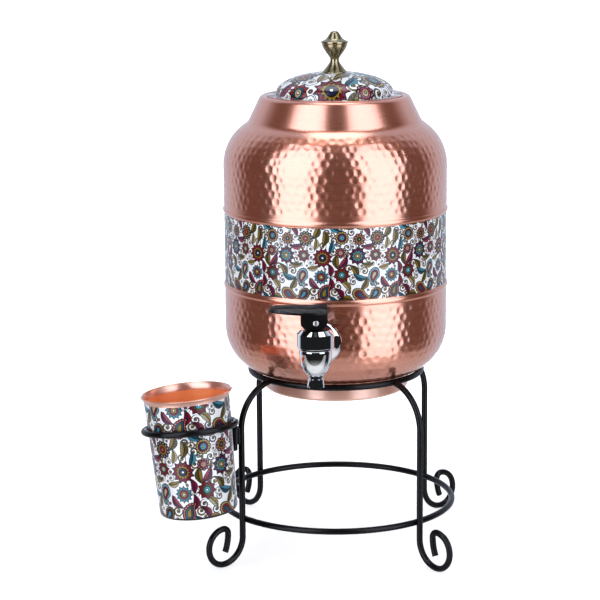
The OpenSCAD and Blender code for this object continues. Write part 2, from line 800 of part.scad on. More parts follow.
// Lever with a cam head, a slot for the stem's tongue and a leaf-shaped paddle
module lever() {
    half_w = paddle_w / 2;
    tip = paddle_length - leaf_x;
    leaf = concat(
        [[-cam_high, paddle_tail_w / 2]],
        curve([-cam_high / 2, paddle_tail_w / 2 + 1.6], [0, half_w], [4, half_w], [leaf_x, half_w], 8),
        [for (a = [7.5 : 7.5 : 90]) [leaf_x + tip * sin(a), half_w * cos(a)]]
    );
    side = concat(
        [[-2 * cam_high, 0], [leaf_x, 0], [paddle_length, tip_rise]],
        curve([paddle_length, paddle_t - tip_fall], [paddle_length - 8, paddle_t], [leaf_x + 12, paddle_t],
            [leaf_x, paddle_t], 8),
        [[-2 * cam_high, paddle_t]]
    );
    head = concat(
        cam,
        [[head_front - head_chamfer, -cam_low], [head_front, head_chamfer - cam_low]],
        [[head_front, paddle_lift + 1], [-cam_high, paddle_lift + 1]]
    );
    slot_w = tongue_t + 0.6;
    slot_r = tongue_r + 0.4;
    color(black)
        on_pin()
            difference() {
                union() {
                    rotate([90, 0, 0]) linear_extrude(head_w, center = true) polygon(head);
                    translate([0, 0, paddle_lift]) intersection() {
                        linear_extrude(2 * paddle_t, center = true) polygon(concat(leaf, mirrored(leaf)));
                        rotate([90, 0, 0]) linear_extrude(2 * paddle_w, center = true) polygon(side);
                        translate([-2 * cam_high, 0, paddle_t - paddle_crown_r])
                            rotate([0, 90, 0]) cylinder(r = paddle_crown_r, h = 3 * cam_high + paddle_length);
                    }
                }
                across(slot_r, slot_w);
                translate([-slot_r, -slot_w / 2, -2 * cam_high]) cube([2 * slot_r, slot_w, 2 * cam_high]);
                translate([-2 * cam_high, -slot_w / 2, -2 * cam_high])
                    cube([2 * cam_high, slot_w, 2 * cam_high + slot_r]);
                across(pin_r + solder_gap, head_w + 2);
            }
}

// Closed ring on a bent arm whose end stands in the sleeve
module cup_holder() {
    color(black)
        along_leg(leg_turns[0]) {
            translate([holder_c, 0, holder_z]) rotate([holder_twist, 0, 0]) ring(holder_r, 0);
            bend([sleeve_r + holder_bend_r, sleeve_z + seat_gap], holder_bend_r, 90, 180);
            bar([sleeve_r, tail_z + 0.8], [sleeve_r, sleeve_z + seat_gap]);
            translate([sleeve_r, 0, tail_z]) cylinder(r1 = bar_r - 0.8, r2 = bar_r, h = 0.8);
        }
}

// Outside of the cup, from its base up to the lip, taken in by a distance
function cup_side(in) = let (
    wall_top = cup_h - lip_flare_r * (sin(flare_a) - sin(cup_wall_a)),
    wall_r = cup_base_r + cup_rake * wall_top,
    flare_c = [wall_r + lip_flare_r * cos(cup_wall_a), wall_top - lip_flare_r * sin(cup_wall_a)]
) concat(
    arc([cup_base_r - cup_edge_r, cup_edge_r], cup_edge_r - in, -90, -cup_wall_a, 8),
    arc(flare_c, lip_flare_r + in, 180 - cup_wall_a, 180 - flare_a, 8)
);

// Tumbler that stands in the holder's ring
module tumbler() {
    color("#d2c5ba")
        along_leg(leg_turns[0])
            translate([holder_c, 0, holder_z])
                rotate([cup_lean_side, cup_lean_out, 0])
                    translate([0, 0, cup_seat - cup_h])
                        turned(concat([[0, 0]], cup_side(0), backwards(cup_side(cup_t)), [[0, cup_t]]));
}

stand_top_ring();
stand_base_ring();
leg_front_left();
leg_front_right();
leg_rear_left();
leg_rear_right();
holder_sleeve();
upper_shell();
lower_shell();
printed_band();
foot_ring();
tap_body();
tap_bonnet();
outer_gasket();
inner_washer();
shank_nut();
lid_dome();
lid_collar();
finial();
finial_washer();
finial_screw();
return_spring();
valve_stem();
seat_cup();
lever_pin();
lever();
cup_holder();
tumbler();
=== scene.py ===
import json
import math
import random

import bpy
import numpy as np
from mathutils import Matrix, Vector

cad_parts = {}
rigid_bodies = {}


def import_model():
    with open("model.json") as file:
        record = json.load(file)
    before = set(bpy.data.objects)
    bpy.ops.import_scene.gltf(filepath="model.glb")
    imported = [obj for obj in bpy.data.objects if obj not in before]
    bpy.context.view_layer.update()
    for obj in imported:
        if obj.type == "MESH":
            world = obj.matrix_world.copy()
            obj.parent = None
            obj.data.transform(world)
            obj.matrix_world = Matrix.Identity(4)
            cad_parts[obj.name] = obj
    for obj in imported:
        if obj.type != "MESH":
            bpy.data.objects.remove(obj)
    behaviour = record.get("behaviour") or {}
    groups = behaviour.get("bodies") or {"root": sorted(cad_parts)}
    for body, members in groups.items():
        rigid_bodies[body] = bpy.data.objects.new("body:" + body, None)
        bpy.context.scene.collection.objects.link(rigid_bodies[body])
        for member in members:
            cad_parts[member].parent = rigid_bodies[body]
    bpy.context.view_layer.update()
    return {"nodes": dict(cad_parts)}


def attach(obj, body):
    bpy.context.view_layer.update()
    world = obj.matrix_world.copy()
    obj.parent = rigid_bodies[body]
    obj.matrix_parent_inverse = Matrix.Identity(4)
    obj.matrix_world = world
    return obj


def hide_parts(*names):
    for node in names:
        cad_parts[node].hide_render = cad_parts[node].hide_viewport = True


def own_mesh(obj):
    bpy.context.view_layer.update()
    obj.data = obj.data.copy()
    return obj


# Copper water dispenser: hammered tank, printed band, lid and cup, chrome tap, bent bar stand

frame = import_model()
nodes = frame["nodes"]
scene = bpy.context.scene
MM = 0.001
FULL_TURN = 2 * math.pi
SECTORS = 8
WELD = 2e-6
FLAT_DEGREES = 1
EDGE_DEGREES = 35

# Sizes of the solids, in millimetres
wall_r = 92.0
wall_t = 1.2
tank_z = 146.0
base_round = 40.0
base_mid = (52.0, 186.0)
shoulder_round = 40.0
shoulder_mid = (52.0, 320.0)
cove_round = 10.0
neck_lean = 25.5
neck_length = 18.7
roll_r = 4.4
mouth_r = 53.8
lip_h = 9.0
band_z = 224.0
band_h = 57.5
band_r = 91.9
recess_r = 91.5
seam_z = band_z + band_h / 2
bead_w = 4.4
bead_h = 0.9
bead_edge = 0.4
lap_gap = 0.05
lap_reach = 0.8
lap_h = 8.0
lap_slope = 4.0
brim_r = 55.2
lid_t = 1.2
dome_r = 48.0
dome_h = 16.6
dome_cove = 2.0
lid_gap = 0.3
brim_edge = 0.35
brim_flat = 0.8
tap_y = 121.0
tap_z = tank_z + 44.5
cup_h = 97.0
cup_base_r = 31.2
cup_top_r = 34.4
cup_lip_r = 36.7
cup_t = 1.0
cup_seat = 28.0
cup_flare = 8.0
cup_edge = 3.0
holder_mid = Vector((-102.163, -116.289, 124.0))
cup_axis = Vector((-0.09337884, 0.01258621, 0.99555109))


# Profile drawing

def arc(mid, r, start, stop, steps):
    angles = [math.radians(start + (stop - start) * i / steps) for i in range(steps + 1)]
    return [(mid[0] + r * math.cos(a), mid[1] + r * math.sin(a)) for a in angles]


def straight(start, stop, steps):
    return [tuple(a + (b - a) * i / steps for a, b in zip(start, stop)) for i in range(steps + 1)]


def without_repeats(points):
    kept = [points[0]]
    for p in points[1:]:
        if math.dist(p, kept[-1]) > 1e-4:
            kept.append(p)
    return kept


lean = math.radians(neck_lean)
neck_out = (math.cos(lean), math.sin(lean))
neck_up = (-math.sin(lean), math.cos(lean))
cove_to_roll = [neck_length * u - (cove_round + roll_r) * o for u, o in zip(neck_up, neck_out)]
cove_reach = shoulder_round + cove_round
cove_turn = math.acos((mouth_r + roll_r - cove_to_roll[0] - shoulder_mid[0]) / cove_reach)
cove_mid = (
    shoulder_mid[0] + cove_reach * math.cos(cove_turn),
    shoulder_mid[1] + cove_reach * math.sin(cove_turn),
)
cove_a = math.degrees(cove_turn)
roll_mid = (cove_mid[0] + cove_to_roll[0], cove_mid[1] + cove_to_roll[1])
brim_z = roll_mid[1] + math.sqrt(roll_r ** 2 - (roll_mid[0] - brim_r) ** 2) + lid_gap
dome_z = brim_z + lid_t + dome_cove
bead_round = ((bead_w / 2) ** 2 + bead_h ** 2) / (2 * bead_h)
bead_half = math.degrees(math.asin(bead_w / 2 / bead_round))


def bead(z):
    return arc((wall_r + bead_h - bead_round, z), bead_round, -bead_half, bead_half, 8)


def crown(inset, rows):
    return [
        *arc(shoulder_mid, shoulder_round - inset, 0, cove_a, rows),
        *arc(cove_mid, cove_round + inset, cove_a + 180, neck_lean + 180, 8),
        *arc(roll_mid, roll_r - inset, neck_lean, 180, 16),
        (mouth_r + inset, roll_mid[1] - lip_h),
    ]


# Modelling by operators

def start_piece(name):
    bpy.ops.object.select_all(action="DESELECT")
    bpy.ops.mesh.primitive_plane_add(size=1e-3)
    piece = bpy.context.object
    piece.name = name
    piece.data.name = name
    return piece


def spun(name, profile, steps, closed=False):
    """A piece turned about the upright axis from a profile of radius and height in millimetres."""
    points = without_repeats(profile + profile[:1] if closed else profile)
    piece = start_piece(name)
    bpy.ops.object.mode_set(mode="EDIT")
    bpy.ops.mesh.select_all(action="SELECT")
    bpy.ops.mesh.merge(type="CENTER")
    bpy.ops.transform.translate(value=(points[0][0] * MM, 0, points[0][1] * MM))
    for (r0, z0), (r1, z1) in zip(points, points[1:]):
        step = ((r1 - r0) * MM, 0, (z1 - z0) * MM)
        bpy.ops.mesh.extrude_region_move(TRANSFORM_OT_translate={"value": step})
    sector = FULL_TURN / SECTORS
    about = {"center": (0, 0, 0), "axis": (0, 0, 1)}
    bpy.ops.mesh.select_all(action="SELECT")
    bpy.ops.mesh.spin(steps=steps // SECTORS, angle=sector, **about)
    bpy.ops.mesh.select_all(action="SELECT")
    bpy.ops.mesh.spin(steps=SECTORS - 1, angle=FULL_TURN - sector, dupli=True, **about)
    bpy.ops.mesh.select_all(action="SELECT")
    bpy.ops.mesh.remove_doubles(threshold=WELD)
    bpy.ops.mesh.normals_make_consistent(inside=False)
    bpy.ops.object.mode_set(mode="OBJECT")
    return piece


def smooth(piece, degrees):
    bpy.ops.object.select_all(action="DESELECT")
    piece.select_set(True)
    bpy.context.view_layer.objects.active = piece
    bpy.ops.object.shade_smooth_by_angle(angle=math.radians(degrees))


def smooth_copy(node, name, degrees, bevel=0.0):
    """A merged copy of a solid, with its turned faces shaded as one and its edges broken."""
    piece = nodes[node].copy()
    piece.data = nodes[node].data.copy()
    piece.name = name
    for key in list(piece.keys()):
        del piece[key]
    piece.parent = None
    scene.collection.objects.link(piece)
    bpy.ops.object.select_all(action="DESELECT")
    piece.select_set(True)
    bpy.context.view_layer.objects.active = piece
    bpy.ops.mesh.customdata_custom_splitnormals_clear()
    bpy.ops.object.mode_set(mode="EDIT")
    bpy.ops.mesh.select_all(action="SELECT")
    bpy.ops.mesh.remove_doubles(threshold=WELD)
    if bevel:
        bpy.ops.mesh.dissolve_limited(angle_limit=math.radians(FLAT_DEGREES))
    bpy.ops.object.mode_set(mode="OBJECT")
    if bevel:
        soft = piece.modifiers.new("broken_edges", "BEVEL")
        soft.width = bevel * MM
        soft.segments = 3
        soft.limit_method = "ANGLE"
        soft.angle_limit = math.radians(EDGE_DEGREES)
        bpy.ops.object.modifier_apply(modifier=soft.name)
    smooth(piece, degrees)
    return piece


def vertices_of(piece):
    flat = np.zeros(len(piece.data.vertices) * 3)
    piece.data.vertices.foreach_get("co", flat)
    return flat.reshape(-1, 3)


def put_vertices(piece, points):
    piece.data.vertices.foreach_set("co", points.astype(np.float32).ravel())
    piece.data.update()


# Hammering: round dents in staggered rows, pressed into the outside of a turned shell

dent_pitch = 7.5
dent_depth = 0.26
dent_sizes = (0.37, 0.46)
dent_strengths = (0.6, 1.2)
dent_fade = 2.5
row_gap = dent_pitch * 0.87
first_row = row_gap * 0.6
turn_scatter = 0.13
row_scatter = 0.09 * dent_pitch
line_slack = 0.05


def hammer(piece, line, start, stop, seed):
    """Dents along a profile line of radius and height, between two lengths along it."""
    line = np.array(line)
    steps = np.linalg.norm(np.diff(line, axis=0), axis=1)
    along = np.concatenate([[0], np.cumsum(steps)])
    slope = np.gradient(line, along, axis=0)
    points = vertices_of(piece) / MM
    radius = np.hypot(points[:, 0], points[:, 1])
    turn = np.arctan2(points[:, 0], -points[:, 1])
    gap = np.full(len(points), np.inf)
    nearest = np.zeros(len(points), int)
    for i, (r, z) in enumerate(line):
        here = np.hypot(radius - r, points[:, 2] - z)
        closer = here < gap
        gap[closer] = here[closer]
        nearest[closer] = i
    place = along[nearest]
    chosen = (gap < line_slack) & (place >= start) & (place <= stop)
    rng = np.random.default_rng(seed)
    rows = int((stop - start) / row_gap)
    dent = np.zeros(len(points))
    for row in range(rows):
        level = start + first_row + row * row_gap
        row_r = np.interp(level, along, line[:, 0])
        count = int(round(FULL_TURN * row_r / dent_pitch))
        jitter_turn = rng.normal(0, turn_scatter, count)
        jitter_place = rng.normal(0, row_scatter, count)
        size = dent_pitch * rng.uniform(*dent_sizes, count)
        strength = dent_depth * rng.uniform(*dent_strengths, count)
        shift = 0.5 * (row % 2)
        near = chosen & (np.abs(place - level) < dent_pitch)
        slot = turn[near] / FULL_TURN * count - shift
        for side in (-1, 0, 1):
            k = np.floor(slot).astype(int) + side
            pick = k % count
            across = (slot - k - 0.5 - jitter_turn[pick]) * FULL_TURN * radius[near] / count
            off = place[near] - level - jitter_place[pick]
            share = (across ** 2 + off ** 2) / size[pick] ** 2
            bowl = strength[pick] * np.clip(1 - share, 0, None)
            dent[near] = np.maximum(dent[near], bowl)
    fade = np.clip(np.minimum(place - start, stop - place) / dent_fade, 0, 1)
    push = dent * fade * chosen
    out = np.stack([slope[nearest, 1], -slope[nearest, 0]], axis=1)
    out /= np.linalg.norm(out, axis=1)[:, None]
    safe = np.maximum(radius, 1e-6)
    points[:, 0] -= push * out[:, 0] * points[:, 0] / safe
    points[:, 1] -= push * out[:, 0] * points[:, 1] / safe
    points[:, 2] -= push * out[:, 1]
    put_vertices(piece, points * MM)


# Node drawing

def feed(tree, sockets, values):
    for socket, value in zip(sockets, values):
        if isinstance(value, bpy.types.NodeSocket):
            tree.links.new(value, socket)
        else:
            socket.default_value = value


def calc(tree, operation, *values):
    node = tree.nodes.new("ShaderNodeMath")
    node.operation = operation
    feed(tree, node.inputs, values)
    return node.outputs[0]


def hypotenuse(tree, x, y):
    return calc(tree, "SQRT", calc(tree, "MULTIPLY_ADD", x, x, calc(tree, "MULTIPLY", y, y)))


def heading(tree, x, y):
    """The angle of a point about the upright axis, from the front."""
    return calc(tree, "ARCTAN2", x, calc(tree, "MULTIPLY", y, -1.0))


def tint(tree, factor, under, over, blend="MIX"):
    node = tree.nodes.new("ShaderNodeMix")
    node.data_type = "RGBA"
    node.blend_type = blend
    feed(tree, (node.inputs[0], node.inputs[6], node.inputs[7]), (factor, under, over))
    return node.outputs[2]


def grey(level):
    return (level, level, level)


def rgba(colour):
    return (*colour, 1.0)


def ramp(tree, value, stops):
    node = tree.nodes.new("ShaderNodeValToRGB")
    elements = node.color_ramp.elements
    while len(elements) < len(stops):
        elements.new(1.0)
    for element, (place, colour) in zip(elements, stops):
        element.position = place
        element.color = rgba(colour)
    tree.links.new(value, node.inputs[0])
    return node.outputs[0]


def noise(tree, place, detail, rough):
    node = tree.nodes.new("ShaderNodeTexNoise")
    feed(tree, (node.inputs["Vector"],), (place,))
    node.inputs["Scale"].default_value = 1.0
    node.inputs["Detail"].default_value = detail
    node.inputs["Roughness"].default_value = rough
    return node.outputs[0]


def split(tree, vector):
    node = tree.nodes.new("ShaderNodeSeparateXYZ")
    feed(tree, node.inputs, (vector,))
    return node.outputs[0], node.outputs[1], node.outputs[2]


def joined(tree, x, y, z):
    node = tree.nodes.new("ShaderNodeCombineXYZ")
    feed(tree, node.inputs, (x, y, z))
    return node.outputs[0]


def object_place(tree):
    return tree.nodes.new("ShaderNodeTexCoord").outputs["Object"]


def new_group(name, inputs, outputs):
    tree = bpy.data.node_groups.new(name, "ShaderNodeTree")
    for label, kind, value in inputs:
        socket = tree.interface.new_socket(name=label, in_out="INPUT", socket_type="NodeSocket" + kind)
        socket.default_value = value
    for label, kind in outputs:
        tree.interface.new_socket(name=label, in_out="OUTPUT", socket_type="NodeSocket" + kind)
    start = tree.nodes.new("NodeGroupInput")
    stop = tree.nodes.new("NodeGroupOutput")
    return tree, start.outputs, stop.inputs


def use_group(tree, group, **values):
    node = tree.nodes.new("ShaderNodeGroup")
    node.node_tree = group
    for label, value in values.items():
        feed(tree, (node.inputs[label.replace("_", " ")],), (value,))
    return node.outputs


def new_material(name):
    material = bpy.data.materials.new(name)
    material.use_nodes = True
    tree = material.node_tree
    return material, tree, tree.nodes["Principled BSDF"]


def bump(tree, shader, height, strength, distance):
    node = tree.nodes.new("ShaderNodeBump")
    node.inputs["Strength"].default_value = strength
    node.inputs["Distance"].default_value = distance
    tree.links.new(height, node.inputs["Height"])
    tree.links.new(node.outputs[0], shader.inputs["Normal"])


def wire(tree, shader, colour, rough):
    tree.links.new(colour, shader.inputs["Base Color"])
    tree.links.new(rough, shader.inputs["Roughness"])


# Print: motifs drawn one over another on a tile that repeats both ways

tile = FULL_TURN * band_r / 10
ink = rgba((0.012, 0.010, 0.013))
paper = rgba((0.90, 0.895, 0.885))
crimson = rgba((0.30, 0.012, 0.050))
plum = rgba((0.15, 0.014, 0.075))
mustard = rgba((0.33, 0.225, 0.040))
olive = rgba((0.13, 0.11, 0.025))
turquoise = rgba((0.085, 0.36, 0.44))
teal = rgba((0.02, 0.11, 0.15))
navy = rgba((0.022, 0.027, 0.075))
cream = rgba((0.50, 0.43, 0.28))
stone = rgba((0.20, 0.19, 0.20))
rose = rgba((0.38, 0.06, 0.11))
scarlet = rgba((0.42, 0.035, 0.03))

SPOT_INPUTS = [
    ("U", "Float", 0.0), ("V", "Float", 0.0), ("Centre U", "Float", 0.0), ("Centre V", "Float", 0.0),
    ("Turn", "Float", 0.0), ("Size", "Float", 1.0),
]
MOTIF_INPUTS = SPOT_INPUTS + [
    ("Form", "Float", 8.0), ("Under", "Color", paper), ("Outer", "Color", crimson),
    ("Middle", "Color", mustard), ("Heart", "Color", navy),
]


def make_spot():
    """Where a point lies in a motif's own round frame."""
    outputs = [("X", "Float"), ("Y", "Float"), ("Reach", "Float"), ("Bearing", "Float")]
    tree, given, made = new_group("motif_spot", SPOT_INPUTS, outputs)
    u = calc(tree, "WRAP", calc(tree, "SUBTRACT", given["U"], given["Centre U"]), tile / 2, -tile / 2)
    v = calc(tree, "WRAP", calc(tree, "SUBTRACT", given["V"], given["Centre V"]), tile / 2, -tile / 2)
    c = calc(tree, "DIVIDE", calc(tree, "COSINE", given["Turn"]), given["Size"])
    s = calc(tree, "DIVIDE", calc(tree, "SINE", given["Turn"]), given["Size"])
    x = calc(tree, "ADD", calc(tree, "MULTIPLY", u, c), calc(tree, "MULTIPLY", v, s))
    y = calc(tree, "SUBTRACT", calc(tree, "MULTIPLY", v, c), calc(tree, "MULTIPLY", u, s))
    feed(tree, made, (x, y, hypotenuse(tree, x, y), calc(tree, "ARCTAN2", y, x)))
    return tree


spot_group = make_spot()


def start_motif(name):
    tree, given, made = new_group(name, MOTIF_INPUTS, [("Colour", "Color")])
    labels = [row[0] for row in SPOT_INPUTS]
    spot = use_group(tree, spot_group, **{label.replace(" ", "_"): given[label] for label in labels})
    return tree, given, made, spot


def below(tree, value, limit):
    return calc(tree, "LESS_THAN", value, limit)


def banded(tree, colour, level, bands):
    """Paints over colour wherever level is under each limit in turn."""
    for limit, paint in bands:
        colour = tint(tree, below(tree, level, limit), colour, paint)
    return colour


def make_flower():
    """Two rows of pointed petals round a ringed heart; Form is the number of petals."""
    tree, given, made, spot = start_motif("motif_flower")
    swing = calc(tree, "MULTIPLY", calc(tree, "MULTIPLY", spot["Bearing"], given["Form"]), 0.5)
    wave = calc(tree, "ABSOLUTE", calc(tree, "SINE", swing))
    level = calc(tree, "DIVIDE", spot["Reach"], calc(tree, "MULTIPLY_ADD", wave, -0.24, 1.0))
    colour = banded(tree, given["Under"], level, [(1.0, ink), (0.86, given["Outer"])])
    rib = calc(tree, "MULTIPLY", below(tree, wave, 0.17), below(tree, level, 0.78))
    colour = tint(tree, rib, colour, ink)
    between = calc(tree, "ABSOLUTE", calc(tree, "COSINE", swing))
    inner = calc(tree, "DIVIDE", spot["Reach"], calc(tree, "MULTIPLY_ADD", between, -0.26, 1.0))
    colour = banded(tree, colour, inner, [(0.68, ink), (0.59, given["Middle"])])
    rings = [(0.37, ink), (0.30, given["Heart"]), (0.15, ink), (0.09, paper)]
    colour = banded(tree, colour, spot["Reach"], rings)
    feed(tree, made, (colour,))
    return tree


def make_rosette():
    """A scalloped disc of rings and dots; Form is the number of scallops."""
    tree, given, made, spot = start_motif("motif_rosette")
    swing = calc(tree, "COSINE", calc(tree, "MULTIPLY", spot["Bearing"], given["Form"]))
    edge = calc(tree, "MULTIPLY_ADD", swing, 0.06, 0.94)
    level = calc(tree, "DIVIDE", spot["Reach"], edge)
    colour = banded(tree, given["Under"], level, [(1.0, ink), (0.87, given["Outer"])])
    row = calc(tree, "ABSOLUTE", calc(tree, "SUBTRACT", level, 0.75))
    dots = calc(tree, "MULTIPLY", calc(tree, "GREATER_THAN", swing, 0.35), below(tree, row, 0.07))
    colour = tint(tree, dots, colour, cream)
    rings = [(0.63, ink), (0.55, given["Middle"]), (0.40, ink), (0.33, given["Heart"])]
    colour = banded(tree, colour, spot["Reach"], rings + [(0.17, ink), (0.10, cream)])
    feed(tree, made, (colour,))
    return tree


drop_bend = 0.72
drop_bulb = 0.44
drop_bead = 0.125


def make_drop():
    """A bent teardrop with a beaded edge and more teardrops inside; Form is the hand it bends to."""
    tree, given, made, spot = start_motif("motif_drop")
    x = spot["X"]
    y = calc(tree, "SUBTRACT", drop_bend, calc(tree, "MULTIPLY", spot["Y"], given["Form"]))
    along = calc(tree, "MULTIPLY", calc(tree, "ARCTAN2", x, y), drop_bend)
    off = calc(tree, "ABSOLUTE", calc(tree, "SUBTRACT", drop_bend, hypotenuse(tree, x, y)))
    fore = calc(tree, "MAXIMUM", along, 0.0)
    back = calc(tree, "MAXIMUM", calc(tree, "MULTIPLY", along, -1.0), 0.0)
    taper = calc(tree, "POWER", calc(tree, "MAXIMUM", calc(tree, "SUBTRACT", 1.0, fore), 0.0), 1.3)
    swell = calc(tree, "MULTIPLY_ADD", fore, 1.3 * drop_bulb, drop_bulb)
    level = calc(tree, "SUBTRACT", hypotenuse(tree, back, off), calc(tree, "MULTIPLY", taper, swell))
    rim = calc(tree, "MULTIPLY_ADD", calc(tree, "ARCTAN2", off, back), drop_bulb, fore)
    swing = calc(tree, "COSINE", calc(tree, "MULTIPLY", rim, FULL_TURN / drop_bead))
    edge = calc(tree, "MULTIPLY_ADD", swing, -0.014, level)
    colour = banded(tree, given["Under"], edge, [(0.0, ink), (-0.055, given["Outer"])])
    row = calc(tree, "ABSOLUTE", calc(tree, "ADD", level, 0.105))
    beads = calc(tree, "MULTIPLY", calc(tree, "GREATER_THAN", swing, 0.2), below(tree, row, 0.028))
    colour = tint(tree, beads, colour, cream)
    nested = [(-0.16, ink), (-0.205, given["Middle"]), (-0.285, ink), (-0.325, given["Heart"])]
    colour = banded(tree, colour, level, nested)
    feed(tree, made, (colour,))
    return tree


def make_leaf():
    """A pointed leaf in two tones with a rib and veins; Form bends it."""
    tree, given, made, spot = start_motif("motif_leaf")
    x = spot["X"]
    square = calc(tree, "MULTIPLY", x, x)
    side = calc(tree, "MULTIPLY_ADD", square, given["Form"], spot["Y"])
    off = calc(tree, "ABSOLUTE", side)
    lens = calc(tree, "MAXIMUM", calc(tree, "SUBTRACT", 1.0, square), 0.0)
    half = calc(tree, "MULTIPLY", lens, calc(tree, "MULTIPLY_ADD", x, -0.14, 0.40))
    body = below(tree, off, half)
    colour = tint(tree, body, given["Under"], ink)
    inside = below(tree, off, calc(tree, "SUBTRACT", half, 0.065))
    colour = tint(tree, inside, colour, given["Outer"])
    upper = calc(tree, "MULTIPLY", inside, calc(tree, "GREATER_THAN", side, 0.0))
    colour = tint(tree, upper, colour, given["Middle"])
    comb = calc(tree, "FRACT", calc(tree, "MULTIPLY", calc(tree, "MULTIPLY_ADD", off, 1.1, x), 3.6))
    near_rib = below(tree, off, calc(tree, "MULTIPLY", half, 0.66))
    vein = calc(tree, "MULTIPLY", below(tree, comb, 0.26), near_rib)
    colour = tint(tree, vein, colour, given["Heart"])
    rib = calc(tree, "MULTIPLY", below(tree, off, 0.045), body)
    colour = tint(tree, rib, colour, ink)
    feed(tree, made, (colour,))
    return tree


def make_curl():
    """A rolled-up tendril; Form is the hand it rolls to."""
    tree, given, made, spot = start_motif("motif_curl")
    swing = calc(tree, "MULTIPLY", spot["Bearing"], given["Form"])
    wound = calc(tree, "MULTIPLY", swing, 1 / FULL_TURN)
    turns = calc(tree, "MULTIPLY_ADD", calc(tree, "POWER", spot["Reach"], 0.8), 1.7, wound)
    off = calc(tree, "ABSOLUTE", calc(tree, "SUBTRACT", calc(tree, "FRACT", turns), 0.5))
    room = below(tree, spot["Reach"], 1.0)
    colour = tint(tree, calc(tree, "MULTIPLY", below(tree, off, 0.23), room), given["Under"], ink)
    colour = tint(tree, calc(tree, "MULTIPLY", below(tree, off, 0.09), room), colour, given["Outer"])
    colour = banded(tree, colour, spot["Reach"], [(0.24, ink), (0.14, given["Middle"])])
    feed(tree, made, (colour,))
    return tree


motifs = {
    "flower": make_flower(), "rosette": make_rosette(), "drop": make_drop(),
    "leaf": make_leaf(), "curl": make_curl(),
}


print_seed = 41
leaf_count = 20
curl_count = 30
dot_count = 16
places_tried = 400


def laid_out():
    """Motifs set one by one where most room is left on the tile."""
    rng = random.Random(print_seed)
    wanted = [
        ("flower", 8.4, 12, (crimson, mustard, navy)),
        ("drop", 12.0, 1, (mustard, crimson, teal)),
        ("flower", 7.6, 10, (plum, turquoise, mustard)),
        ("drop", 11.6, -1, (crimson, teal, mustard)),
        ("rosette", 6.3, 12, (navy, mustard, crimson)),
        ("drop", 11.0, 1, (turquoise, crimson, cream)),
        ("flower", 7.0, 9, (crimson, olive, turquoise)),
        ("rosette", 5.7, 14, (mustard, plum, turquoise)),
        ("drop", 10.2, -1, (olive, plum, turquoise)),
        ("flower", 6.3, 12, (turquoise, crimson, mustard)),
        ("rosette", 5.1, 9, (crimson, mustard, navy)),
        ("flower", 5.5, 8, (scarlet, teal, cream)),
        ("rosette", 4.5, 10, (plum, rose, cream)),
    ]
    leaf_tones = [
        (crimson, plum, ink), (mustard, olive, ink), (turquoise, teal, navy), (cream, mustard, olive),
        (plum, rose, ink), (olive, mustard, ink),
    ]
    for i in range(leaf_count):
        tones = leaf_tones[i % len(leaf_tones)]
        wanted.append(("leaf", rng.uniform(5.2, 6.8), rng.choice((-0.3, 0.3)), tones))
    for i in range(curl_count):
        core = (stone, paper, mustard)[i % 3]
        wanted.append(("curl", rng.uniform(2.7, 3.9), rng.choice((-1.0, 1.0)), (core, mustard, ink)))
    for i in range(dot_count):
        tones = ((mustard, ink, cream), (crimson, ink, cream), (turquoise, ink, paper))[i % 3]
        wanted.append(("rosette", rng.uniform(0.9, 1.4), 5, tones))
    share = {"flower": 0.95, "rosette": 0.98, "drop": 0.60, "leaf": 0.55, "curl": 0.95}
    placed = []
    for kind, size, form, tones in wanted:
        room = size * share[kind]
        best = None
        for _ in range(places_tried):
            u, v = rng.uniform(0, tile), rng.uniform(0, tile)
            free = tile
            for other in placed:
                du = (u - other[0] + tile / 2) % tile - tile / 2
                dv = (v - other[1] + tile / 2) % tile - tile / 2
                free = min(free, math.hypot(du, dv) - room - other[2])
            if best is None or free > best[0]:
                best = (free, u, v)
        placed.append((best[1], best[2], room, kind, size, form, rng.uniform(0, FULL_TURN), tones))
    return placed


def make_print():
    tree, given, made = new_group("floral_print", SPOT_INPUTS[:2], [("Colour", "Color")])
    colour = paper
    for u, v, _, kind, size, form, turn, tones in reversed(laid_out()):
        outputs = use_group(
            tree, motifs[kind], U=given["U"], V=given["V"], Centre_U=u, Centre_V=v, Turn=turn,
            Size=size, Form=form, Under=colour, Outer=tones[0], Middle=tones[1], Heart=tones[2],
        )
        colour = outputs["Colour"]
    feed(tree, made, (colour,))
    return tree


print_group = make_print()


# Shared surface effects

def make_turned_marks():
    """Fine rings left by turning or burnishing about the axis of a piece."""
    inputs = [("Place", "Vector", (0, 0, 0)), ("Fineness", "Float", 900.0), ("Drift", "Float", 2.0)]
    tree, given, made = new_group("turned_marks", inputs, [("Height", "Float")])
    x, y, z = split(tree, given["Place"])
    around = calc(tree, "MULTIPLY", heading(tree, x, y), given["Drift"])
    level = calc(tree, "MULTIPLY", calc(tree, "ADD", z, hypotenuse(tree, x, y)), given["Fineness"])
    feed(tree, made, (noise(tree, joined(tree, around, level, 0.0), 4.0, 0.6),))
    return tree


def make_handling():
    """Soft cloudy stains and small specks from handling."""
    inputs = [("Cloud Scale", "Float", 30.0), ("Speck Scale", "Float", 900.0)]
    tree, given, made = new_group("handling_marks", inputs, [("Cloud", "Float"), ("Speck", "Float")])
    place = object_place(tree)
    cloud = tree.nodes.new("ShaderNodeTexNoise")
    speck = tree.nodes.new("ShaderNodeTexNoise")
    for node, label, detail in ((cloud, "Cloud Scale", 4.0), (speck, "Speck Scale", 2.0)):
        feed(tree, (node.inputs["Vector"], node.inputs["Scale"]), (place, given[label]))
        node.inputs["Detail"].default_value = detail
    feed(tree, made, (cloud.outputs[0], speck.outputs[0]))
    return tree


turned_marks = make_turned_marks()
handling_marks = make_handling()


def clouded(tree, hand, low, high):
    return ramp(tree, hand["Cloud"], [(0.3, grey(low)), (0.7, grey(high))])


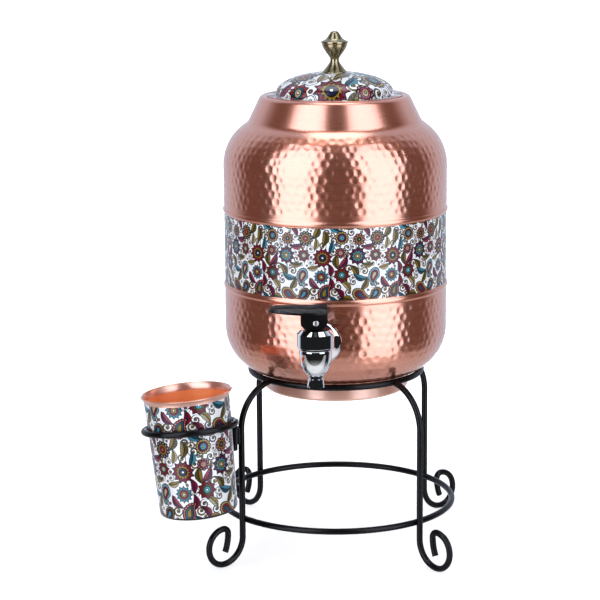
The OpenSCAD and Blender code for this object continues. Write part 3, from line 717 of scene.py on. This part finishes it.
def sheet_metal(name, light, dark, rough, marks, metal, lacquer=0.0, place=object_place):
    """Burnished sheet: cloudy tone, turned rings in gloss and height, gloss drawn across the rings."""
    material, tree, shader = new_material(name)
    hand = use_group(tree, handling_marks, Cloud_Scale=26.0, Speck_Scale=700.0)
    rings = use_group(tree, turned_marks, Place=place(tree), Fineness=1100.0, Drift=1.5)
    tone = ramp(tree, hand["Cloud"], [(0.32, dark), (0.68, light)])
    ring_share = calc(tree, "MULTIPLY", rings["Height"], 0.6)
    cloud_share = calc(tree, "MULTIPLY", hand["Cloud"], 0.4)
    gloss = calc(tree, "ADD", ring_share, cloud_share)
    wire(tree, shader, tone, ramp(tree, gloss, [(0.35, grey(rough[0])), (0.65, grey(rough[1]))]))
    shader.inputs["Metallic"].default_value = metal
    shader.inputs["Anisotropic"].default_value = 0.80
    shader.inputs["Anisotropic Rotation"].default_value = 0.25
    shader.inputs["Coat Weight"].default_value = lacquer
    shader.inputs["Coat Roughness"].default_value = 0.22
    shader.inputs["Coat IOR"].default_value = 2.45
    bump(tree, shader, rings["Height"], marks, 0.0002)
    return material


copper = sheet_metal(
    "copper", (0.81, 0.35, 0.233), (0.75, 0.31, 0.195),
    rough=(0.25, 0.32), marks=0.10, metal=0.90, lacquer=1.0,
)
# Foot ring: a real satin finish, with the copper lightened and made half matte as painted light that
# lifts the shade under the tank
satin_copper_painted_light = sheet_metal(
    "satin_copper_painted_light", (0.96, 0.62, 0.50), (0.91, 0.57, 0.45),
    rough=(0.42, 0.50), marks=0.08, metal=0.55, lacquer=0.6,
)
brass = sheet_metal(
    "aged_brass", (0.44, 0.395, 0.255), (0.34, 0.30, 0.185),
    rough=(0.20, 0.27), marks=0.02, metal=1.0, lacquer=0.30,
)


def finish_print(name, draw, gloss):
    """Lacquered print: colours from draw, worn a little in specks, a mask from draw painted dark in
    the ink colour, and gloss that varies in soft clouds.
    """
    material, tree, shader = new_material(name)
    u, v, edge = draw(tree)
    hand = use_group(tree, handling_marks, Cloud_Scale=40.0, Speck_Scale=900.0)
    art = use_group(tree, print_group, U=u, V=v)["Colour"]
    worn = ramp(tree, hand["Speck"], [(0.30, grey(0.90)), (0.60, grey(1.0))])
    colour = tint(tree, 1.0, art, worn, "MULTIPLY")
    # Where draw gives a mask, that part is painted dark in the ink colour
    if edge is not None:
        colour = tint(tree, edge, colour, ink)
    wire(tree, shader, colour, clouded(tree, hand, gloss, gloss + 0.10))
    shader.inputs["Coat Weight"].default_value = 0.7
    shader.inputs["Coat Roughness"].default_value = 0.12
    bump(tree, shader, hand["Speck"], 0.05, 0.0001)
    return material


def band_draw(tree):
    x, y, z = split(tree, object_place(tree))
    u = calc(tree, "MULTIPLY", heading(tree, x, y), band_r)
    v = calc(tree, "MULTIPLY_ADD", z, 1 / MM, -band_z)
    return u, v, None


lid_scale = 2.0
lid_fall = 2.3


def lid_draw(tree):
    x, y, z = split(tree, object_place(tree))
    flat = calc(tree, "MULTIPLY_ADD", x, x, calc(tree, "MULTIPLY", y, y))
    fall = calc(tree, "SUBTRACT", z, (dome_z + dome_h) * MM)
    square = calc(tree, "MULTIPLY_ADD", calc(tree, "MULTIPLY", fall, fall), lid_fall, flat)
    stretch = calc(tree, "SQRT", calc(tree, "DIVIDE", square, calc(tree, "MAXIMUM", flat, 1e-8)))
    scale = calc(tree, "MULTIPLY", stretch, 1 / (MM * lid_scale))
    return calc(tree, "MULTIPLY", x, scale), calc(tree, "MULTIPLY", y, scale), None


cup_turn = cup_axis.to_track_quat("Z", "Y")
cup_foot = holder_mid + cup_axis * (cup_seat - cup_h)
cup_tiles = 3
cup_dark_band_h = 2.2


def cup_place(tree):
    """Object coordinates in the leaning cup's own upright frame."""
    mapping = tree.nodes.new("ShaderNodeMapping")
    mapping.vector_type = "TEXTURE"
    mapping.inputs["Location"].default_value = cup_foot * MM
    mapping.inputs["Rotation"].default_value = cup_turn.to_euler()
    feed(tree, (mapping.inputs["Vector"],), (object_place(tree),))
    return mapping.outputs[0]


# Inside of the cup: copper lightened, more orange and mostly matte, as a painted glow standing in for
# light bouncing inside the cup
cup_copper_painted_glow = sheet_metal(
    "cup_copper_painted_glow", (1.0, 0.47, 0.225), (0.97, 0.42, 0.195),
    rough=(0.30, 0.35), marks=0.01, metal=0.2, place=cup_place,
)
lip_copper = sheet_metal(
    "lip_copper", (0.88, 0.53, 0.42), (0.82, 0.47, 0.36),
    rough=(0.32, 0.38), marks=0.01, metal=0.7, lacquer=0.8, place=cup_place,
)


def cup_draw(tree):
    x, y, z = split(tree, cup_place(tree))
    around = calc(tree, "ARCTAN2", y, x)
    per_mm = cup_tiles * tile / (FULL_TURN * 0.5 * (cup_base_r + cup_top_r))
    u = calc(tree, "MULTIPLY", around, cup_tiles * tile / FULL_TURN)
    v = calc(tree, "MULTIPLY", z, per_mm / MM)
    # A dark band in the ink colour is painted round the bottom of the cup, up to a set height above
    # its foot
    edge = below(tree, z, cup_dark_band_h * MM)
    return u, v, edge


band_print = finish_print("band_print", band_draw, 0.30)
lid_print = finish_print("lid_print", lid_draw, 0.22)
cup_print = finish_print("cup_print", cup_draw, 0.30)


def coated(name, colour, low_rough, high_rough, scale, strength):
    """Coated or moulded surface with a fine skin texture."""
    material, tree, shader = new_material(name)
    hand = use_group(tree, handling_marks, Cloud_Scale=45.0, Speck_Scale=scale)
    paler = tuple(min(1.0, c * 1.7 + 0.004) for c in colour)
    tone = ramp(tree, hand["Cloud"], [(0.35, colour), (0.75, paler)])
    wire(tree, shader, tone, clouded(tree, hand, low_rough, high_rough))
    bump(tree, shader, hand["Speck"], strength, 0.0002)
    return material


powder_coat = coated("powder_coat", (0.007, 0.007, 0.008), 0.20, 0.30, 1600.0, 0.20)
rubber = coated("rubber", (0.012, 0.012, 0.012), 0.6, 0.75, 1200.0, 0.2)
silicone = coated("silicone", (0.55, 0.55, 0.52), 0.45, 0.6, 900.0, 0.1)


def plated(name, colour, low_rough, high_rough):
    """Bright metal with a faint cloud in tone and gloss."""
    material, tree, shader = new_material(name)
    hand = use_group(tree, handling_marks, Cloud_Scale=60.0, Speck_Scale=250.0)
    darker = tuple(c * 0.93 for c in colour)
    tone = ramp(tree, hand["Cloud"], [(0.3, darker), (0.7, colour)])
    wire(tree, shader, tone, clouded(tree, hand, low_rough, high_rough))
    shader.inputs["Metallic"].default_value = 1.0
    bump(tree, shader, hand["Speck"], 0.02, 0.0002)
    return material


chrome = plated("chrome", (0.80, 0.82, 0.85), 0.03, 0.08)
steel = plated("drawn_steel", (0.52, 0.53, 0.55), 0.22, 0.34)
pin_steel = plated("pin_steel", (0.62, 0.62, 0.61), 0.34, 0.44)


scuff_z = 222.2


def lever_plastic():
    """Black moulding with pale scuffs drawn along its top."""
    material, tree, shader = new_material("lever_plastic")
    x, y, z = split(tree, object_place(tree))
    drawn = joined(tree, calc(tree, "MULTIPLY", x, 60.0), calc(tree, "MULTIPLY", y, 420.0), 0.0)
    streak = noise(tree, drawn, 5.0, 0.65)
    high = calc(tree, "GREATER_THAN", z, scuff_z * MM)
    scuff = calc(tree, "MULTIPLY", ramp(tree, streak, [(0.46, grey(0.0)), (0.66, grey(1.0))]), high)
    colour = tint(tree, scuff, rgba((0.010, 0.010, 0.011)), rgba((0.115, 0.112, 0.112)))
    wire(tree, shader, colour, ramp(tree, scuff, [(0.0, grey(0.30)), (1.0, grey(0.55))]))
    bump(tree, shader, streak, 0.12, 0.0002)
    return material


lever_black = lever_plastic()


# Pieces

def dress(piece, *materials):
    piece.data.materials.clear()
    for material in materials:
        piece.data.materials.append(material)


def stand_for(piece, body, slot, *stood):
    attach(piece, body)
    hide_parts(*stood)


shell_steps = 600
upper_bead_z = band_z + band_h + bead_edge + bead_w / 2
lower_bead_z = band_z - bead_edge - bead_w / 2
shoulder_rows = 44
upper_dents = (3.0, 74.5)
upper_side = straight((wall_r, upper_bead_z + bead_w / 2), (wall_r, shoulder_mid[1]), 36)
upper_wall = [*upper_side, *arc(shoulder_mid, shoulder_round, 0, cove_a, shoulder_rows)]
upper_profile = [
    (recess_r, seam_z), (recess_r, band_z + band_h), (wall_r, band_z + band_h),
    *bead(upper_bead_z),
    *upper_side,
    *crown(0, shoulder_rows),
    *reversed(crown(wall_t, 12)),
    (wall_r - wall_t, seam_z),
]
upper_shell = spun("hammered_upper_shell", upper_profile, shell_steps, closed=True)
hammer(upper_shell, without_repeats(upper_wall), *upper_dents, seed=11)
smooth(upper_shell, 40)
dress(upper_shell, copper)
stand_for(upper_shell, "tank", "copper", "upper_shell")


def belly(inset, rows):
    return [(0, tank_z + inset), *arc(base_mid, base_round - inset, -90, 0, rows)]


belly_rows = 66
lower_dents = (14.0, 95.5)
lower_side = straight((wall_r, base_mid[1]), (wall_r, lower_bead_z - bead_w / 2), 35)
lower_wall = [*arc(base_mid, base_round, -90, 0, belly_rows), *lower_side]
inside_r = wall_r - wall_t
lower_profile = [
    *belly(0, belly_rows),
    *lower_side,
    *bead(lower_bead_z),
    (wall_r, band_z), (recess_r, band_z), (recess_r, seam_z), (inside_r - lap_gap, seam_z),
    (inside_r - lap_gap, seam_z + lap_h), (inside_r - lap_reach, seam_z + lap_h),
    (inside_r - lap_reach, seam_z - lap_h + lap_slope), (inside_r, seam_z - lap_h),
    *reversed(belly(wall_t, 16)),
]
lower_shell = spun("hammered_lower_shell", lower_profile, shell_steps)
hammer(lower_shell, without_repeats(lower_wall), *lower_dents, seed=12)
smooth(lower_shell, 40)
dress(lower_shell, copper)
stand_for(lower_shell, "tank", "copper", "lower_shell")


def dome(inset, start, stop, rows):
    angles = np.linspace(start, stop, rows + 1)
    return [((dome_r - inset) * math.cos(a), dome_z + (dome_h - inset) * math.sin(a)) for a in angles]


brim_top = brim_z + lid_t
lid_profile = [
    (brim_r - brim_edge, brim_z), (brim_r, brim_z + brim_edge), (brim_r, brim_top - brim_edge),
    (brim_r - brim_edge, brim_top), (brim_r - brim_flat, brim_top),
    *arc((dome_r + dome_cove, dome_z), dome_cove, 270, 180, 8),
    *dome(0, 0, math.pi / 2, 32),
    *dome(lid_t, math.pi / 2, 0, 16),
    (dome_r - lid_t, brim_z),
]
print_inset = 0.4
print_sink = 0.3
lid = spun("printed_lid", lid_profile, 256, closed=True)
smooth(lid, 35)
dress(lid, lid_print, copper)
for face in lid.data.polygons:
    mid = face.center / MM
    reach = math.hypot(mid.x, mid.y)
    above = mid.z > brim_top - print_sink and reach < brim_r - print_inset
    outward = face.normal.z > 0.02 or face.normal.dot(Vector((mid.x, mid.y, 0))) > 0
    face.material_index = 0 if above and outward else 1
stand_for(lid, "lid", "printed_copper", "lid_dome")


def cup_line(inset, rows):
    wall_a = math.atan((cup_top_r - cup_base_r) / cup_h)
    flare_a = math.acos(math.cos(wall_a) - (cup_lip_r - cup_top_r) / cup_flare)
    rake = math.tan(wall_a)
    wall_top = cup_h - cup_flare * (math.sin(flare_a) - math.sin(wall_a))
    top_r = cup_base_r + rake * wall_top
    flare_mid = (top_r + cup_flare * math.cos(wall_a), wall_top - cup_flare * math.sin(wall_a))
    edge_mid = (cup_base_r - cup_edge, cup_edge)
    foot = arc(edge_mid, cup_edge - inset, -90, -math.degrees(wall_a), 8)
    flare_turn = [180 - math.degrees(a) for a in (wall_a, flare_a)]
    flare = arc(flare_mid, cup_flare + inset, *flare_turn, 12)
    return [*foot, *straight(foot[-1], flare[0], rows)[1:-1], *flare]


cup_profile = [(0, 0), *cup_line(0, 24), *reversed(cup_line(cup_t, 12)), (0, cup_t)]
cup = spun("printed_tumbler", cup_profile, 192)
dress(cup, cup_print, cup_copper_painted_glow, lip_copper)
lip_outside = 3.9
lip_inside = 6.5
underside_z = 0.2
for face in cup.data.polygons:
    mid = face.center / MM
    outward = face.normal.dot(Vector((mid.x, mid.y, 0))) > 0
    if mid.z > cup_h - (lip_outside if outward else lip_inside):
        face.material_index = 2
    elif outward or mid.z < underside_z:
        face.material_index = 0
    else:
        face.material_index = 1
cup.data.transform(Matrix.Translation(cup_foot * MM) @ cup_turn.to_matrix().to_4x4())
smooth(cup, 35)
stand_for(cup, "cup", "printed_copper", "tumbler")

tap = smooth_copy("tap_body", "polished_tap_body", 28)
dress(tap, chrome)
stand_for(tap, "tank", "chrome", "tap_body")

# Rounded shoulder under the tap's collar
egg_r = 13.0
egg_top = tap_z + 1.5
shoulder_h = 2.8
shoulder_t = 1.2
egg_skin = 0.8
egg_slack = 0.05
tap_points = vertices_of(tap) / MM
tap_out = np.hypot(tap_points[:, 0], tap_points[:, 1] + tap_y)
tap_rise = np.clip((tap_points[:, 2] - egg_top) / shoulder_h + 1, 0, 1)
on_egg = (abs(tap_out - egg_r) < egg_skin) & (tap_points[:, 2] < egg_top + egg_slack)
shrink = np.where(on_egg, 1 - shoulder_t * tap_rise ** 2 / egg_r, 1)
tap_points[:, 0] *= shrink
tap_points[:, 1] = (tap_points[:, 1] + tap_y) * shrink - tap_y
put_vertices(tap, tap_points * MM)


def sweep(start, lead, follow, stop, steps):
    """A smooth outline stretch between two points, drawn towards two others."""
    line = []
    corners = (start, lead, follow, stop)
    for t in np.linspace(0, 1, steps + 1):
        weights = ((1 - t) ** 3, 3 * t * (1 - t) ** 2, 3 * t * t * (1 - t), t ** 3)
        line.append(tuple(sum(w * p[i] for w, p in zip(weights, corners)) for i in (0, 1)))
    return line


finial_foot_r = 9.9
finial_neck_r = 3.55
finial_rim_r = 11.0
finial_h = 33.2
finial_sink = 0.4
finial_z = dome_z + dome_h * math.sqrt(1 - (finial_foot_r / dome_r) ** 2)
finial_line = [
    (0, -finial_sink), (finial_foot_r, -finial_sink), (finial_foot_r, 0.3),
    *sweep((finial_foot_r - 0.3, 0.6), (8.2, 2.3), (4.2, 6.9), (finial_neck_r, 9.0), 14),
    *sweep((finial_neck_r, 10.4), (4.1, 13.2), (9.6, 17.5), (10.4, 22.6), 16),
    *sweep((10.4, 22.6), (10.5, 23.2), (finial_rim_r, 23.4), (finial_rim_r, 24.2), 5),
    *sweep((finial_rim_r, 24.2), (finial_rim_r, 24.8), (10.8, 25.0), (10.2, 25.2), 5),
    *sweep((10.2, 25.2), (8.4, 25.9), (6.6, 26.7), (6.2, 27.8), 8),
    *straight((6.2, 27.8), (3.7, 31.6), 5),
    *sweep((3.7, 31.6), (3.0, 32.7), (1.8, finial_h), (0, finial_h), 8),
]
knob = spun("turned_finial", [(r, finial_z + z) for r, z in finial_line], 96)
smooth(knob, 40)
dress(knob, brass)
stand_for(knob, "lid", "brass", "finial")

lever = smooth_copy("lever", "moulded_lever", 40, 0.7)
dress(lever, lever_black)
stand_for(lever, "lever", "lever_plastic", "lever")

# Return spring under the bonnet, carried on the tap swivel with its own copy of the mesh
spring = smooth_copy("return_spring", "coiled_return_spring", 60)
dress(spring, steel)
stand_for(spring, "tap_swivel", "steel", "return_spring")
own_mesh(spring)

# Materials of the solids that are shown as they are
for name in (
    "stand_top_ring", "stand_base_ring", "leg_front_left", "leg_front_right", "leg_rear_left",
    "leg_rear_right", "holder_sleeve", "cup_holder",
):
    dress(nodes[name], powder_coat)
for name, material in (
    ("printed_band", band_print), ("foot_ring", satin_copper_painted_light), ("lid_collar", copper),
    ("tap_bonnet", chrome), ("lever_pin", pin_steel), ("shank_nut", chrome),
    ("outer_gasket", rubber), ("inner_washer", rubber), ("finial_washer", brass),
    ("finial_screw", brass), ("valve_stem", steel), ("seat_cup", silicone),
):
    dress(nodes[name], material)


# Camera at the photographed angle

camera_turn = math.radians(7.5)
camera_reach = 1.740
camera_height = 0.5665
camera_pitch = math.radians(11.72)
camera_yaw = math.radians(0.981)
camera_roll = math.radians(-0.46)
camera_place = (
    camera_reach * math.sin(camera_turn), -camera_reach * math.cos(camera_turn), camera_height,
)
camera_data = bpy.data.cameras.new("camera")
camera_data.sensor_width = 36.0
camera_data.lens = 127.8
camera = bpy.data.objects.new("camera", camera_data)
scene.collection.objects.link(camera)
camera.matrix_world = (
    Matrix.Translation(camera_place)
    @ Matrix.Rotation(camera_turn + camera_yaw, 4, "Z")
    @ Matrix.Rotation(math.pi / 2 - camera_pitch, 4, "X")
    @ Matrix.Rotation(camera_roll, 4, "Z")
)
scene.camera = camera
scene.view_settings.view_transform = "Standard"
scene.view_settings.look = "High Contrast"


# Studio: dim in front, pale backdrop, table and ceiling

def make_studio():
    world = bpy.data.worlds.new("studio")
    scene.world = world
    world.use_nodes = True
    tree = world.node_tree
    background = tree.nodes["Background"]
    x, y, z = split(tree, tree.nodes.new("ShaderNodeTexCoord").outputs["Generated"])
    around = calc(tree, "SUBTRACT", heading(tree, x, y), camera_turn)
    around = calc(tree, "WRAP", around, math.pi, -math.pi)
    share = calc(tree, "MULTIPLY_ADD", around, 1 / FULL_TURN, 0.5)

    def place(degrees):
        return degrees / 360 + 0.5

    def level(degrees):
        return 0.5 + 0.5 * math.sin(math.radians(degrees))

    dim = (0.030, 0.030, 0.031)
    back = (0.46, 0.50, 0.58)
    ceiling = grey(0.4)
    table_top = (0.42, 0.41, 0.40)
    behind = [(place(-125), back), (place(-104), dim), (place(104), dim), (place(125), back)]
    height = calc(tree, "MULTIPLY_ADD", z, 0.5, 0.5)
    sky = ramp(tree, share, behind)
    above = ramp(tree, height, [(level(76), grey(0.0)), (level(84), grey(1.0))])
    sky = tint(tree, above, sky, rgba(ceiling))
    table = ramp(tree, height, [(level(-40), grey(1.0)), (level(-24), grey(0.0))])
    sky = tint(tree, table, sky, rgba(table_top))
    seen = tree.nodes.new("ShaderNodeLightPath").outputs["Is Camera Ray"]
    tree.links.new(tint(tree, seen, sky, rgba(grey(1.0))), background.inputs["Color"])
    background.inputs["Strength"].default_value = 1.0


make_studio()


floor_r = 0.6
floor_z = -0.0003


def make_floor():
    bpy.ops.object.select_all(action="DESELECT")
    bpy.ops.mesh.primitive_circle_add(
        vertices=128, radius=floor_r, fill_type="NGON", location=(0, 0, floor_z),
    )
    floor = bpy.context.object
    floor.name = "floor"
    material, tree, shader = new_material("pale_floor")
    x, y, _ = split(tree, object_place(tree))
    shader.inputs["Base Color"].default_value = rgba(grey(0.92))
    shader.inputs["Roughness"].default_value = 0.7
    shown = ramp(tree, hypotenuse(tree, x, y), [(0.16, grey(0.5)), (0.40, grey(0.0))])
    tree.links.new(shown, shader.inputs["Alpha"])
    dress(floor, material)


make_floor()


def soft_light(name, place, target, width, height, power):
    data = bpy.data.lights.new(name, "AREA")
    data.shape = "RECTANGLE"
    data.size = width
    data.size_y = height
    data.energy = power
    light = bpy.data.objects.new(name, data)
    scene.collection.objects.link(light)
    light.location = place
    light.rotation_euler = (Vector(target) - Vector(place)).to_track_quat("-Z", "Y").to_euler()
    light.visible_camera = False
    return light


soft_light("overhead", (0.0, 0.2, 1.9), (0, 0, 0.2), width=0.9, height=0.9, power=4.0)

# Tall soft boxes for all but the chrome, which has lights of its own so that its front stays dark
chrome_names = ("polished_tap_body", "tap_bonnet")
flags = {
    True: bpy.data.collections.new("chrome_pieces"),
    False: bpy.data.collections.new("other_pieces"),
}
for piece in scene.objects:
    if piece.type == "MESH":
        flags[piece.name in chrome_names].objects.link(piece)
box_reach = 1.5
foot_z = -1.1
knee_z = -0.1
rear_z = 0.15
head_z = 0.5
top_z = 3.4
cool = (0.93, 0.985, 1.09)
warm = (1.0, 0.55, 0.40)
for name, turn, width, low, high, radiance, colour, on_chrome in (
    ("high_left", -42.5, 1.50, head_z, top_z, 1.60, cool, False),
    ("high_right", 47.5, 1.45, head_z, top_z, 1.50, cool, False),
    ("box_left", -41.5, 1.15, knee_z, head_z, 1.60, cool, False),
    ("box_right", 47.5, 1.15, knee_z, head_z, 1.55, cool, False),
    ("low_left", -41.5, 1.15, foot_z, knee_z, 1.25, cool, False),
    ("low_right", 47.5, 1.15, foot_z, knee_z, 1.20, cool, False),
    ("front_card", 3.0, 1.3, foot_z, top_z, 0.064, warm, False),
    ("side_left", -93.0, 1.0, foot_z, top_z, 0.095, warm, False),
    ("side_right", 96.0, 1.0, foot_z, top_z, 0.095, warm, False),
    ("rear_box", 180.0, 0.7, foot_z, rear_z, 1.10, cool, False),
    ("key_left", -46.0, 1.0, head_z, top_z, 1.40, cool, True),
    ("key_right", 46.0, 1.0, head_z, top_z, 1.40, cool, True),
    ("back_left", -135.0, 2.0, foot_z, top_z, 0.14, cool, True),
    ("back_right", 135.0, 2.0, foot_z, top_z, 0.14, cool, True),
):
    bearing = camera_turn + math.radians(turn)
    x, y = box_reach * math.sin(bearing), -box_reach * math.cos(bearing)
    mid = (low + high) / 2
    power = radiance * math.pi * width * (high - low)
    light = soft_light(name, (x, y, mid), (0, 0, mid), width, high - low, power)
    light.data.color = colour
    light.light_linking.receiver_collection = flags[on_chrome]

# The chrome's card below and hoods above
for name, place, target, width, height, power in (
    ("table_card", (0.06, -0.34, -0.1), (0.06, -0.34, 1.0), 2.0, 0.28, 0.60),
    ("hood_left", (-0.55, -0.12, 1.4), (-0.55, -0.12, 0.0), 0.5, 0.6, 1.3),
    ("hood_right", (0.55, -0.12, 1.4), (0.55, -0.12, 0.0), 0.5, 0.6, 1.3),
):
    card = soft_light(name, place, target, width, height, power)
    card.light_linking.receiver_collection = flags[True]
